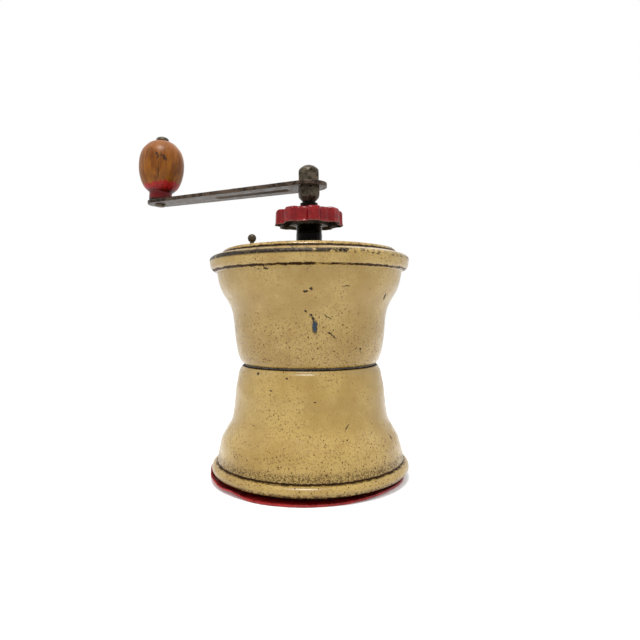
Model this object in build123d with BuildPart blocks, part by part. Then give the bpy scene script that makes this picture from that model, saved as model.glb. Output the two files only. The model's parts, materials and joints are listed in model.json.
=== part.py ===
"""Hand coffee mill: a hopper with conical burrs that plugs into a catch cup.

Millimetres, +Z up. The origin is the centre of the base, on the spindle's axis.
The crank points along -X.
"""

from build123d import *
import math
import os

# Driving dimensions: sheet thickness, running clearance, and the gap between parts that only pass each other
SHEET = 0.8
RUNNING = 0.06
GAP = 0.05

PAD_THICK = 2.0
PAD_RADIUS = 54.0
PAD_SHIFT = (-1.8, -0.8)
DISC_RADIUS = 49.6
DISC_TOP = 10.0
DISC_BEND = 1.6

BEAD_RADIUS = 2.8
BEAD_CENTRE = (51.6, 6.6)
CUP_TOP = 61.5
NECK_BORE = 35.2
GROOVE_RADIUS = 51.0
SPIGOT_DEPTH = 11.0
SPIGOT_FLANGE = 36.4
SEAT = CUP_TOP + 0.1
FLANGE = SEAT + SHEET

FLOOR_BORE = 27.0
RIM_RADIUS = 55.0
LEDGE = 122.4
LEDGE_BORE = 44.4
LID_RADIUS = 48.2
LID_TOP = 124.8
LID_CORNER = 1.3
OPENING_CORNER = 2.0
DOOR_OPENING = (17.0, 42.0)
DOOR_RADIUS = 43.8
DOOR_START = 221.0
DOOR_ANGLE = 110.0
DOOR_LAP = 6.0
DOOR_LOW = 122.8
DOOR_HUB = 14.0
DOOR_KNOB_RADIUS = 34.0
DOOR_KNOB_ANGLE = 231.0
DOOR_KNOB_BALL = 4.5
DOOR_KNOB_HEIGHT = 130.0
DOOR_KNOB_STEM = 1.1
DOOR_KNOB_FOOT = (2.0, 0.8)

BUSH_RADIUS = 7.3
BUSH_TOP = 144.8
BUSH_SHOULDER = 10.0
BUSH_STEM = 6.0
BRIDGE_HALF = 47.6
BRIDGE_WIDTH = 14.0
BRIDGE_THICK = 2.0
BUSH_TAIL = 4.4
BUSH_NUT = (17.0, 3.6)
RIVETS = (45.6, 5.0)
RIVET_RADIUS = 1.0
RIVET_HEAD = (1.3, 0.7)

SPINDLE_RADIUS = 3.0
SPINDLE_BOTTOM = 29.0
COLLAR_RADIUS = 5.0

WHEEL_BOTTOM = 138.8
WHEEL_TOP = 147.4
WHEEL_LOBES = 8
WHEEL_CREST = 18.7
WHEEL_FLUTE = 16.7
WHEEL_WALL = 1.1
WHEEL_ROOF = WHEEL_TOP - 1.4
WHEEL_TURN = 34.0
WHEEL_EDGE = 1.6
WHEEL_CLEARANCE = 0.3
WHEEL_HUB_FLATS = 19.0
WASHER_RADIUS = 7.5
WASHER_THICK = 0.9

HEX_FLATS = 11.0
HUB_NUT = (152.3, 160.3)
HUB_NUT_TURN = 305.0
HUB_NUT_FOOT = ((3.6, 0.0), (6.4, 3.2))
ARM_THICK = 2.4
ARM_LENGTH = 106.0
ARM_HUB_RADIUS = 10.2
ARM_TIP_RADIUS = 8.0
ARM_RIB = (12.0, 63.0)
RIB_WIDTH = 5.6
RIB_HEIGHT = 1.0
RIB_GROOVE = 1.2
RIB_WALL = 0.7
RIB_TAPER = 30.0
CAP_HEX_TOP = 169.2
CAP_TOP = 173.0
DOME_WIDTH = 5.3
CAP_NUT_TURN = 291.0

KNOB_LEAN = 3.0
KNOB_GAP = 0.4
KNOB_TOP = 38.3
AXLE_RADIUS = 2.2
AXLE_HEAD = 4.0
AXLE_LENGTH = 41.0
AXLE_RIM = 0.6
AXLE_TAIL = 1.3

BURR_TOP = 64.0
BURR_BOTTOM = 46.0
BURR_RADII = (19.4, 8.0)
BURR_TEETH = 14
BURR_TWIST = 28.0
TOOTH_DEPTH = 1.9
TOOTH_SPREAD = 0.14
TOOTH_MARGIN = 0.8
BURR_NUT = (10.0, 4.0)
RING_TEETH = 24
RING_THROAT = (16.4, 60.0)
RING_BORE = 20.5
RING_MOUTH = 23.0
RING_WALL = 25.8
RING_FLANGE = 33.4
RING_TOOTH = (1.3, 0.9)
RING_TOOTH_ROOT = 0.6
RING_FLANGE_TOP = 66.4
RING_BOTTOM = 44.0
SCREW_CIRCLE = 29.6
SCREW_RADIUS = 2.0
SCREW_HEAD = (3.5, 2.4)
SCREW_TAIL = 4.6
SCREW_SLOT = (1.0, 1.1)
SCREW_ROUND = 1.0
SCREW_NUT = (7.0, 3.0)
LOWER_BRIDGE = 32.0
LOWER_BRIDGE_ENDS = (15.8, 19.2, 27.0)
LOWER_BRIDGE_WIDTH = 11.0
BRIDGE_BEND = 1.6
LOWER_BUSH = (5.0, 7.0)
LOWER_BUSH_FLANGE = 2.2
LOWER_BUSH_TAIL = 1.5
BRIDGE_SCREW_SPAN = 23.4
BRIDGE_SCREW_RADIUS = 1.25
BRIDGE_SCREW_HEAD = (2.6, 1.8)
BRIDGE_SCREW_DEPTH = 9.0
PIN_RADIUS = 1.25
PIN_HALF = 6.6
COLLAR_THICK = 1.05
SPRING_RADIUS = 5.7
SPRING_WIRE = 1.0

# Corners of the shells' middle lines: radius, height and the radius of the bend
CUP_WALL = (
    (NECK_BORE + SHEET / 2, 54.0, 0),
    (NECK_BORE + SHEET / 2, CUP_TOP - SHEET / 2, 0.9),
    (37.4, CUP_TOP - SHEET / 2, 0.9),
    (39.0, 58.0, 10),
    (40.0, 53.0, 12),
    (40.8, 48.5, 12),
    (41.6, 39.7, 12),
    (43.0, 32.0, 12),
    (45.8, 26.8, 12),
    (48.5, 22.0, 12),
    (49.9, 16.2, 12),
    (GROOVE_RADIUS, 10.4, 5),
    (GROOVE_RADIUS, 8.6, 0),
)
HOPPER_WALL = (
    (FLOOR_BORE, FLANGE + SHEET / 2, 0),
    (36.9, FLANGE + SHEET / 2, 0.7),
    (38.5, 65.2, 10),
    (39.8, 69.5, 12),
    (41.0, 78.3, 12),
    (41.8, 87.1, 12),
    (42.9, 92.5, 12),
    (45.1, 97.1, 12),
    (47.6, 101.3, 12),
    (49.3, 105.5, 12),
    (50.4, 110.6, 5),
    (50.8, 112.6, 0.7),
    (53.4, 114.0, 0.7),
    (RIM_RADIUS - SHEET / 4, 118.9, 0.7),
    (48.6, LEDGE - SHEET / 2, 0.7),
    (LEDGE_BORE, LEDGE - SHEET / 2, 0),
)


def disc(radius, low, high, bore=0.0, mode=Mode.ADD):
    """A disc or ring about the mill's axis, between two heights."""
    with BuildSketch(Plane.XY.offset(low)) as outline:
        Circle(radius)
        if bore:
            Circle(bore, mode=Mode.SUBTRACT)
    extrude(outline.sketch, amount=high - low, mode=mode)


def hexagon(flats, low, high, turn=0.0):
    """A hexagonal bar with a corner at the angle turn."""
    with BuildSketch(Plane.XY.offset(low)) as outline:
        RegularPolygon(flats / 2, 6, major_radius=False, rotation=turn)
    extrude(outline.sketch, amount=high - low)


def cone_cut(low, high):
    """Trims the corners of a nut with a cone: low and high are (radius, height) pairs."""
    margin = HEX_FLATS
    with BuildSketch(Plane.XZ) as outline:
        with BuildLine():
            Polyline(low, high, (high[0] + margin, high[1]), (low[0] + margin, low[1]), close=True)
        make_face()
    revolve(outline.sketch, axis=Axis.Z, mode=Mode.SUBTRACT)


def sheet_section(path):
    """The section of a bent sheet, from the corners (radius, height, bend radius) of its middle line."""
    with BuildLine() as middle:
        FilletPolyline(*[corner[:2] for corner in path], radius=[corner[2] for corner in path[1:-1]])
    trace(middle.edges(), line_width=SHEET)


def dome_radius(half_width, rise):
    """The radius of a ball whose cap has this half width and this rise."""
    return (half_width**2 + rise**2) / (2 * rise)


def finish(part, label):
    """Names a finished piece and writes it."""
    part.label = label
    export_step(part, f"parts/{label}.step")


os.makedirs("parts", exist_ok=True)

# --- Catch cup -----------------------------------------------------------------------------------------

with BuildPart() as lower_shell:
    with BuildSketch(Plane.XZ):
        sheet_section(CUP_WALL)
        with BuildLine():
            bead_line = BEAD_RADIUS - SHEET / 2
            Line((GROOVE_RADIUS, BEAD_CENTRE[1] + bead_line), (BEAD_CENTRE[0], BEAD_CENTRE[1] + bead_line))
            CenterArc(center=BEAD_CENTRE, radius=bead_line, start_angle=90, arc_size=-180)
        trace(line_width=SHEET)
    revolve(axis=Axis.Z)
finish(lower_shell.part, "lower_shell")

with BuildPart() as bottom_disc:
    with BuildSketch(Plane.XZ):
        with BuildLine():
            FilletPolyline(
                (0.0, PAD_THICK + SHEET / 2),
                (DISC_RADIUS, PAD_THICK + SHEET / 2),
                (DISC_RADIUS, DISC_TOP),
                radius=DISC_BEND,
            )
        trace(line_width=SHEET)
    revolve(axis=Axis.Z)
finish(bottom_disc.part, "bottom_disc")

with BuildPart() as base_pad:
    with BuildSketch(Plane.XY):
        with Locations(PAD_SHIFT):
            Circle(PAD_RADIUS)
    extrude(amount=PAD_THICK)
finish(base_pad.part, "base_pad")

# --- Hopper ----------------------------------------------------------------------------------------------

screw_spots = PolarLocations(SCREW_CIRCLE, 3, start_angle=90.0)
screw_hole = SCREW_RADIUS + GAP
rivet_spots = GridLocations(2 * RIVETS[0], 2 * RIVETS[1], 2, 2)
bridge_screw_spots = GridLocations(2 * BRIDGE_SCREW_SPAN, 0.0, 2, 1)

with BuildPart() as upper_shell:
    with BuildSketch(Plane.XZ):
        sheet_section(HOPPER_WALL)
    revolve(axis=Axis.Z)
    with BuildSketch(Plane.XY.offset(SEAT)):
        with screw_spots:
            Circle(screw_hole)
    extrude(amount=4 * SHEET, mode=Mode.SUBTRACT)
    with BuildSketch(Plane.XY.offset(LEDGE + SHEET)):
        with rivet_spots:
            Circle(RIVET_RADIUS)
    extrude(amount=-3 * SHEET, mode=Mode.SUBTRACT)
finish(upper_shell.part, "upper_shell")

with BuildPart() as spigot_ring:
    tube = NECK_BORE - RUNNING
    disc(SPIGOT_FLANGE, SEAT, FLANGE, bore=FLOOR_BORE)
    disc(tube, SEAT - SPIGOT_DEPTH, SEAT, bore=tube - SHEET)
    with screw_spots:
        Cylinder(screw_hole, 2 * FLANGE + SHEET, mode=Mode.SUBTRACT)
finish(spigot_ring.part, "spigot_ring")

with BuildPart() as ring_groove:
    half = RING_TOOTH[0]
    for height, radius, reach in (
        (RING_BOTTOM, RING_BORE, RING_TOOTH[0]),
        (RING_THROAT[1], RING_THROAT[0], RING_TOOTH[1]),
    ):
        root = radius - RING_TOOTH_ROOT
        with BuildSketch(Plane.XY.offset(height)):
            Polygon((root, -half), (radius + reach, 0.0), (root, half), align=None)
    loft()

with BuildPart() as burr_ring:
    with BuildSketch(Plane.XZ):
        with BuildLine():
            Polyline(
                (RING_BORE, RING_BOTTOM),
                (RING_WALL, RING_BOTTOM),
                (RING_WALL, FLANGE + SHEET),
                (RING_FLANGE, FLANGE + SHEET),
                (RING_FLANGE, RING_FLANGE_TOP),
                (RING_MOUTH, RING_FLANGE_TOP),
                RING_THROAT,
                close=True,
            )
        make_face()
    revolve(axis=Axis.Z)
    with PolarLocations(0.0, RING_TEETH):
        add(ring_groove.part, mode=Mode.SUBTRACT)
    with screw_spots:
        Cylinder(screw_hole, 2 * RING_FLANGE_TOP + 1, mode=Mode.SUBTRACT)
    with BuildSketch(Plane.XY.offset(RING_BOTTOM)):
        with bridge_screw_spots:
            Circle(BRIDGE_SCREW_RADIUS)
    extrude(amount=BRIDGE_SCREW_DEPTH, mode=Mode.SUBTRACT)
finish(burr_ring.part, "burr_ring")

with BuildPart() as burr_screws:
    with BuildSketch(Plane.XY.offset(SEAT - SCREW_TAIL)):
        with screw_spots:
            Circle(SCREW_RADIUS)
    extrude(amount=RING_FLANGE_TOP - SEAT + SCREW_TAIL)
    with BuildSketch(Plane.XY.offset(RING_FLANGE_TOP)):
        with screw_spots:
            Circle(SCREW_HEAD[0])
    extrude(amount=SCREW_HEAD[1])
    fillet(burr_screws.edges().group_by(Axis.Z)[-1], SCREW_ROUND)
    with BuildSketch(Plane.XY.offset(RING_FLANGE_TOP + SCREW_HEAD[1])):
        with screw_spots:
            Rectangle(SCREW_SLOT[0], 2 * SCREW_HEAD[0] + 1.0)
    extrude(amount=-SCREW_SLOT[1], mode=Mode.SUBTRACT)
finish(burr_screws.part, "burr_screws")

with BuildPart() as burr_nuts:
    with BuildSketch(Plane.XY.offset(SEAT)):
        with screw_spots:
            RegularPolygon(SCREW_NUT[0] / 2, 6, major_radius=False, rotation=30.0)
            Circle(SCREW_RADIUS, mode=Mode.SUBTRACT)
    extrude(amount=-SCREW_NUT[1])
finish(burr_nuts.part, "burr_nuts")

with BuildPart() as lower_bridge:
    inner, outer, end = LOWER_BRIDGE_ENDS
    high = RING_BOTTOM - BRIDGE_THICK / 2
    low = LOWER_BRIDGE + BRIDGE_THICK / 2
    with BuildSketch(Plane.XZ):
        with BuildLine():
            FilletPolyline(
                (-end, high),
                (-outer, high),
                (-inner, low),
                (inner, low),
                (outer, high),
                (end, high),
                radius=BRIDGE_BEND,
            )
        trace(line_width=BRIDGE_THICK)
    extrude(amount=LOWER_BRIDGE_WIDTH / 2, both=True)
    with Locations((BRIDGE_SCREW_SPAN, 0.0, RING_BOTTOM), (-BRIDGE_SCREW_SPAN, 0.0, RING_BOTTOM)):
        Hole(BRIDGE_SCREW_RADIUS + GAP, depth=2 * BRIDGE_THICK)
    with Locations((0.0, 0.0, LOWER_BRIDGE + BRIDGE_THICK)):
        Hole(LOWER_BUSH[0], depth=2 * BRIDGE_THICK)
finish(lower_bridge.part, "lower_bridge")

with BuildPart() as lower_bush:
    seat = LOWER_BRIDGE + BRIDGE_THICK
    disc(LOWER_BUSH[0], LOWER_BRIDGE - LOWER_BUSH_TAIL, seat)
    disc(LOWER_BUSH[1], seat, seat + LOWER_BUSH_FLANGE)
    chamfer(lower_bush.edges().group_by(Axis.Z)[-1], 0.6)
    with Locations((0.0, 0.0, seat + LOWER_BUSH_FLANGE)):
        Hole(SPINDLE_RADIUS + RUNNING, depth=3 * BRIDGE_THICK)
finish(lower_bush.part, "lower_bush")

with BuildPart() as bridge_screws:
    shank = RING_BOTTOM - BRIDGE_THICK
    with BuildSketch(Plane.XY.offset(shank)):
        with bridge_screw_spots:
            Circle(BRIDGE_SCREW_RADIUS)
    extrude(amount=BRIDGE_SCREW_DEPTH)
    with BuildSketch(Plane.XY.offset(shank)):
        with bridge_screw_spots:
            Circle(BRIDGE_SCREW_HEAD[0])
    extrude(amount=-BRIDGE_SCREW_HEAD[1])
    fillet(bridge_screws.edges().group_by(Axis.Z)[0], 0.8)
finish(bridge_screws.part, "bridge_screws")

# --- Lid and top bearing --------------------------------------------------------------------------------

with BuildPart() as lid:
    with BuildSketch(Plane.XZ):
        with BuildLine():
            FilletPolyline(
                (BUSH_RADIUS + 0.2, LID_TOP - SHEET / 2),
                (LID_RADIUS - SHEET - LID_CORNER, LID_TOP - SHEET / 2),
                (LID_RADIUS - SHEET / 2, LID_TOP - LID_CORNER),
                (LID_RADIUS - SHEET / 2, LEDGE),
                radius=0.5,
            )
        trace(line_width=SHEET)
    revolve(axis=Axis.Z)
    with BuildSketch(Plane.XY.offset(LID_TOP)) as fill_opening:
        with BuildLine():
            CenterArc((0.0, 0.0), DOOR_OPENING[1], DOOR_START, DOOR_ANGLE)
            CenterArc((0.0, 0.0), DOOR_OPENING[0], DOOR_START, DOOR_ANGLE)
            for angle in (DOOR_START, DOOR_START + DOOR_ANGLE):
                Line(
                    Vector(DOOR_OPENING[0], 0.0).rotate(Axis.Z, angle),
                    Vector(DOOR_OPENING[1], 0.0).rotate(Axis.Z, angle),
                )
        make_face()
    extrude(amount=-2 * SHEET, mode=Mode.SUBTRACT)
    fillet(lid.edges().filter_by(Axis.Z).filter_by(lambda edge: edge.length < 1.0), OPENING_CORNER)
finish(lid.part, "lid")

with BuildPart() as top_bridge:
    with BuildSketch(Plane.XY.offset(LEDGE - SHEET)):
        Rectangle(2 * BRIDGE_HALF, BRIDGE_WIDTH)
        Circle(BUSH_STEM, mode=Mode.SUBTRACT)
        with rivet_spots:
            Circle(RIVET_RADIUS, mode=Mode.SUBTRACT)
    extrude(amount=-BRIDGE_THICK)
    fillet(top_bridge.edges().filter_by(Axis.Z).filter_by(GeomType.LINE), BRIDGE_BEND)
finish(top_bridge.part, "top_bridge")

with BuildPart() as bridge_rivets:
    with BuildSketch(Plane.XY.offset(LEDGE - SHEET - BRIDGE_THICK)):
        with rivet_spots:
            Circle(RIVET_RADIUS)
    extrude(amount=BRIDGE_THICK + SHEET)
    for height, rise in ((LEDGE, RIVET_HEAD[1]), (LEDGE - SHEET - BRIDGE_THICK, -RIVET_HEAD[1])):
        with BuildSketch(Plane.XY.offset(height)):
            with rivet_spots:
                Circle(RIVET_HEAD[0])
        extrude(amount=rise)
finish(bridge_rivets.part, "bridge_rivets")

with BuildPart() as top_bush:
    underside = LEDGE - SHEET - BRIDGE_THICK
    disc(BUSH_STEM, underside - BUSH_TAIL, LEDGE - SHEET)
    disc(BUSH_SHOULDER, LEDGE - SHEET, DOOR_LOW - GAP)
    disc(BUSH_RADIUS, DOOR_LOW - GAP, BUSH_TOP)
    chamfer(top_bush.edges().group_by(Axis.Z)[-1], 0.8)
    with Locations((0.0, 0.0, BUSH_TOP)):
        Hole(SPINDLE_RADIUS + RUNNING, depth=BUSH_TOP - underside + 2 * BUSH_TAIL)
finish(top_bush.part, "top_bush")

with BuildPart() as bush_nut:
    hexagon(BUSH_NUT[0], underside - BUSH_NUT[1], underside)
    with Locations((0.0, 0.0, underside)):
        Hole(BUSH_STEM, depth=2 * BUSH_NUT[1])
finish(bush_nut.part, "bush_nut")

# --- Fill door ---------------------------------------------------------------------------------------------

with BuildPart() as fill_door:
    sweep_angle = DOOR_ANGLE + 2 * DOOR_LAP
    with BuildSketch(Plane.XY.offset(DOOR_LOW)):
        with BuildLine():
            edge = CenterArc((0.0, 0.0), DOOR_RADIUS, DOOR_START - DOOR_LAP, sweep_angle)
            Line((0.0, 0.0), edge @ 0)
            Line((0.0, 0.0), edge @ 1)
        make_face()
        Circle(DOOR_HUB)
        Circle(BUSH_RADIUS + RUNNING, mode=Mode.SUBTRACT)
    extrude(amount=SHEET)
finish(fill_door.part, "fill_door")

with BuildPart() as door_knob:
    ball = DOOR_KNOB_BALL / 2
    ball_height = DOOR_KNOB_HEIGHT - DOOR_LOW - SHEET
    knob_spot = Vector(DOOR_KNOB_RADIUS, 0.0, DOOR_LOW + SHEET).rotate(Axis.Z, DOOR_KNOB_ANGLE)
    with BuildSketch(Plane(knob_spot, x_dir=(1, 0, 0), z_dir=(0, -1, 0))):
        with BuildLine():
            top = JernArc((0.0, ball_height + ball), (1.0, 0.0), ball, -150.0)
            Polyline(
                top @ 1,
                (DOOR_KNOB_STEM, ball_height - ball),
                (DOOR_KNOB_STEM, DOOR_KNOB_FOOT[1]),
                DOOR_KNOB_FOOT,
                (DOOR_KNOB_FOOT[0], 0.0),
                (0.0, 0.0),
                top @ 0,
            )
        make_face()
    revolve(axis=Axis(knob_spot, (0, 0, 1)))
finish(door_knob.part, "door_knob")

# --- Adjuster ----------------------------------------------------------------------------------------------

with BuildPart() as adjusting_wheel:
    base = (WHEEL_CREST + WHEEL_FLUTE) / 2
    step = 180.0 / WHEEL_LOBES
    with BuildSketch(Plane.XY.offset(WHEEL_BOTTOM)) as scallops:
        with BuildLine():
            for index in range(2 * WHEEL_LOBES):
                middle = WHEEL_TURN + index * step
                radius = WHEEL_FLUTE if index % 2 else WHEEL_CREST
                ThreePointArc(
                    Vector(base, 0.0).rotate(Axis.Z, middle - step / 2),
                    Vector(radius, 0.0).rotate(Axis.Z, middle),
                    Vector(base, 0.0).rotate(Axis.Z, middle + step / 2),
                )
        make_face()
    extrude(amount=WHEEL_TOP - WHEEL_BOTTOM)
    fillet(adjusting_wheel.edges().group_by(Axis.Z)[-1], WHEEL_EDGE)
    with BuildSketch(Plane.XY.offset(WHEEL_BOTTOM)):
        add(scallops.sketch)
        offset(amount=-WHEEL_WALL)
    extrude(amount=WHEEL_ROOF - WHEEL_BOTTOM, mode=Mode.SUBTRACT)
    with Locations((0.0, 0.0, WHEEL_TOP)):
        Hole(SPINDLE_RADIUS + WHEEL_CLEARANCE, depth=WHEEL_TOP - WHEEL_BOTTOM)
finish(adjusting_wheel.part, "adjusting_wheel")

with BuildPart() as wheel_hub:
    hexagon(WHEEL_HUB_FLATS, WHEEL_BOTTOM + 2 * GAP, WHEEL_ROOF, turn=WHEEL_TURN)
    with Locations((0.0, 0.0, WHEEL_TOP)):
        Hole(BUSH_RADIUS + RUNNING, depth=WHEEL_TOP - WHEEL_BOTTOM)
finish(wheel_hub.part, "wheel_hub")

with BuildPart() as thrust_washer:
    washer_low = WHEEL_TOP + GAP
    washer_high = washer_low + WASHER_THICK
    disc(WASHER_RADIUS, washer_low, washer_high, bore=SPINDLE_RADIUS + WHEEL_CLEARANCE)
finish(thrust_washer.part, "thrust_washer")

# --- Spindle, burr and crank -----------------------------------------------------------------------------

pin_height = BURR_TOP

with BuildPart() as spindle:
    disc(SPINDLE_RADIUS, SPINDLE_BOTTOM, CAP_HEX_TOP + 0.5)
    disc(COLLAR_RADIUS, washer_high + GAP, HUB_NUT[0] - WASHER_THICK)
    chamfer(spindle.edges().group_by(Axis.Z)[0], 0.5)
    with BuildSketch(Plane.YZ):
        with Locations((0.0, pin_height)):
            Circle(PIN_RADIUS)
    extrude(amount=2 * SPINDLE_RADIUS, both=True, mode=Mode.SUBTRACT)
finish(spindle.part, "spindle")

with BuildPart() as drive_pin:
    with BuildSketch(Plane.YZ):
        with Locations((0.0, pin_height)):
            Circle(PIN_RADIUS)
    extrude(amount=PIN_HALF, both=True)
finish(drive_pin.part, "drive_pin")

with BuildPart() as burr_groove:
    for height, radius, turn in ((BURR_BOTTOM, BURR_RADII[0], 0.0), (BURR_TOP, BURR_RADII[1], BURR_TWIST)):
        outside = radius + TOOTH_MARGIN
        with BuildSketch(Plane.XY.offset(height)):
            with Locations(Location((0.0, 0.0, 0.0), (0.0, 0.0, turn))):
                Polygon(
                    (radius - TOOTH_DEPTH, 0.0),
                    (outside, -radius * TOOTH_SPREAD),
                    (outside, radius * TOOTH_SPREAD),
                    align=None,
                )
    loft()

with BuildPart() as inner_burr:
    with BuildSketch(Plane.XZ):
        with BuildLine():
            Polyline(
                (SPINDLE_RADIUS, BURR_BOTTOM),
                (BURR_RADII[0], BURR_BOTTOM),
                (BURR_RADII[1], BURR_TOP),
                (SPINDLE_RADIUS, BURR_TOP),
                close=True,
            )
        make_face()
    revolve(axis=Axis.Z)
    with PolarLocations(0.0, BURR_TEETH):
        add(burr_groove.part, mode=Mode.SUBTRACT)
    with BuildSketch(Plane.YZ):
        with Locations((0.0, pin_height)):
            Rectangle(2 * PIN_RADIUS, 2 * PIN_RADIUS)
    extrude(amount=BURR_RADII[0], both=True, mode=Mode.SUBTRACT)
finish(inner_burr.part, "inner_burr")

with BuildPart() as burr_nut:
    hexagon(BURR_NUT[0], BURR_BOTTOM - BURR_NUT[1], BURR_BOTTOM)
    chamfer(burr_nut.edges().group_by(Axis.Z)[0], 0.5)
    with Locations((0.0, 0.0, BURR_BOTTOM)):
        Hole(SPINDLE_RADIUS, depth=2 * BURR_NUT[1])
finish(burr_nut.part, "burr_nut")

spring_low = pin_height + PIN_RADIUS + COLLAR_THICK + GAP
spring_high = underside - BUSH_TAIL

with BuildPart() as spring_collar:
    disc(WASHER_RADIUS, spring_low - COLLAR_THICK, spring_low, bore=SPINDLE_RADIUS)
finish(spring_collar.part, "spring_collar")

with BuildPart() as spindle_spring:
    disc(SPRING_RADIUS, spring_low, spring_high - 2 * GAP, bore=SPRING_RADIUS - SPRING_WIRE)
finish(spindle_spring.part, "spindle_spring")

with BuildPart() as hub_nut:
    hexagon(HEX_FLATS, *HUB_NUT, turn=HUB_NUT_TURN)
    cone_cut(*[(radius, HUB_NUT[0] + rise) for radius, rise in HUB_NUT_FOOT])
    with Locations((0.0, 0.0, HUB_NUT[1])):
        Hole(SPINDLE_RADIUS, depth=2 * (HUB_NUT[1] - HUB_NUT[0]))
finish(hub_nut.part, "hub_nut")

arm_top = HUB_NUT[1] + ARM_THICK
knob_foot = Vector(-ARM_LENGTH, 0.0, arm_top)
lean = Vector(math.sin(math.radians(KNOB_LEAN)), 0.0, math.cos(math.radians(KNOB_LEAN)))
knob_side = Plane(knob_foot, x_dir=(lean.Z, 0.0, -lean.X), z_dir=(0.0, -1.0, 0.0))
knob_axis = Axis(knob_foot, lean)

with BuildPart() as crank_arm:
    with BuildSketch(Plane.XY.offset(HUB_NUT[1])):
        Circle(ARM_HUB_RADIUS)
        with Locations((-ARM_LENGTH, 0.0)):
            Circle(ARM_TIP_RADIUS)
        make_hull()
    extrude(amount=ARM_THICK)
    chamfer(crank_arm.edges().group_by(Axis.Z)[-1], 0.3)
    rib_length = ARM_RIB[1] - ARM_RIB[0]
    rib_spot = Locations((-(ARM_RIB[0] + ARM_RIB[1]) / 2, 0.0))
    with BuildSketch(Plane.XY.offset(arm_top)):
        with rib_spot:
            SlotOverall(rib_length, RIB_WIDTH)
    extrude(amount=RIB_HEIGHT, taper=RIB_TAPER)
    with BuildSketch(Plane.XY.offset(HUB_NUT[1])):
        with rib_spot:
            SlotOverall(rib_length - 2 * RIB_WALL, RIB_WIDTH - 2 * RIB_WALL)
    extrude(amount=RIB_GROOVE, taper=RIB_TAPER, mode=Mode.SUBTRACT)
    with Locations((0.0, 0.0, arm_top)):
        Hole(SPINDLE_RADIUS, depth=2 * ARM_THICK)
    with BuildSketch(Plane(knob_foot, z_dir=lean)):
        Circle(AXLE_RADIUS)
    extrude(amount=2 * ARM_THICK, both=True, mode=Mode.SUBTRACT)
finish(crank_arm.part, "crank_arm")

with BuildPart() as cap_nut:
    hexagon(HEX_FLATS, arm_top, CAP_HEX_TOP, turn=CAP_NUT_TURN)
    cone_cut((HEX_FLATS / 2 - 0.2, arm_top), (HEX_FLATS / 2 + 1.0, arm_top + 0.8))
    cone_cut((HEX_FLATS / 2 + 1.0, CAP_HEX_TOP - 1.3), (DOME_WIDTH, CAP_HEX_TOP))
    with BuildSketch(Plane.XZ):
        with BuildLine():
            curve = dome_radius(DOME_WIDTH, CAP_TOP - CAP_HEX_TOP)
            dome = RadiusArc((DOME_WIDTH, CAP_HEX_TOP), (0.0, CAP_TOP), -curve)
            Polyline(dome @ 0, (0.0, CAP_HEX_TOP), dome @ 1)
        make_face()
    revolve(axis=Axis.Z)
    with BuildSketch(Plane.XY.offset(arm_top)):
        Circle(SPINDLE_RADIUS)
    extrude(amount=CAP_HEX_TOP + 0.5 - arm_top, mode=Mode.SUBTRACT)
finish(cap_nut.part, "cap_nut")

with BuildPart() as knob_axle:
    head_low = KNOB_TOP + 2 * GAP
    tail = -ARM_THICK - 0.2
    with BuildSketch(knob_side):
        with BuildLine():
            curve = dome_radius(AXLE_HEAD, AXLE_LENGTH - head_low - AXLE_RIM)
            top = RadiusArc((AXLE_HEAD, head_low + AXLE_RIM), (0.0, AXLE_LENGTH), -curve)
            Polyline(
                top @ 0,
                (AXLE_HEAD, head_low),
                (AXLE_RADIUS, head_low),
                (AXLE_RADIUS, tail),
                (AXLE_HEAD - 0.4, tail),
                (AXLE_HEAD - 1.4, tail - AXLE_TAIL),
                (0.0, tail - AXLE_TAIL),
                top @ 1,
            )
        make_face()
    revolve(axis=knob_axis)
finish(knob_axle.part, "knob_axle")

# --- Wooden knob --------------------------------------------------------------------------------------------

with BuildPart() as knob:
    with BuildSketch(knob_side):
        with BuildLine():
            foot = Polyline((7.2, KNOB_GAP + 0.4), (7.2, 5.0), (7.6, 5.7))
            Polyline(foot @ 0, (6.8, KNOB_GAP), (AXLE_RADIUS + RUNNING, KNOB_GAP))
            egg = Spline(
                foot @ 1,
                (10.7, 8.6),
                (12.6, 12.5),
                (13.9, 17.5),
                (14.2, 23.0),
                (13.4, 28.6),
                (11.4, 33.2),
                (8.2, 36.4),
                (4.6, KNOB_TOP),
            )
            Polyline(egg @ 1, (AXLE_RADIUS + RUNNING, KNOB_TOP), (AXLE_RADIUS + RUNNING, KNOB_GAP))
        make_face()
    revolve(axis=knob_axis)
finish(knob.part, "knob")
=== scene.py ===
"""Looks of a hand coffee mill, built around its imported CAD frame.

Metres, +Z up, spindle on the Z axis, crank along -X. Outlines are in millimetres, as radius and height.
"""

import json
import math
from functools import reduce

import bmesh
import bpy
from mathutils import Matrix, Vector, noise


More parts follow.
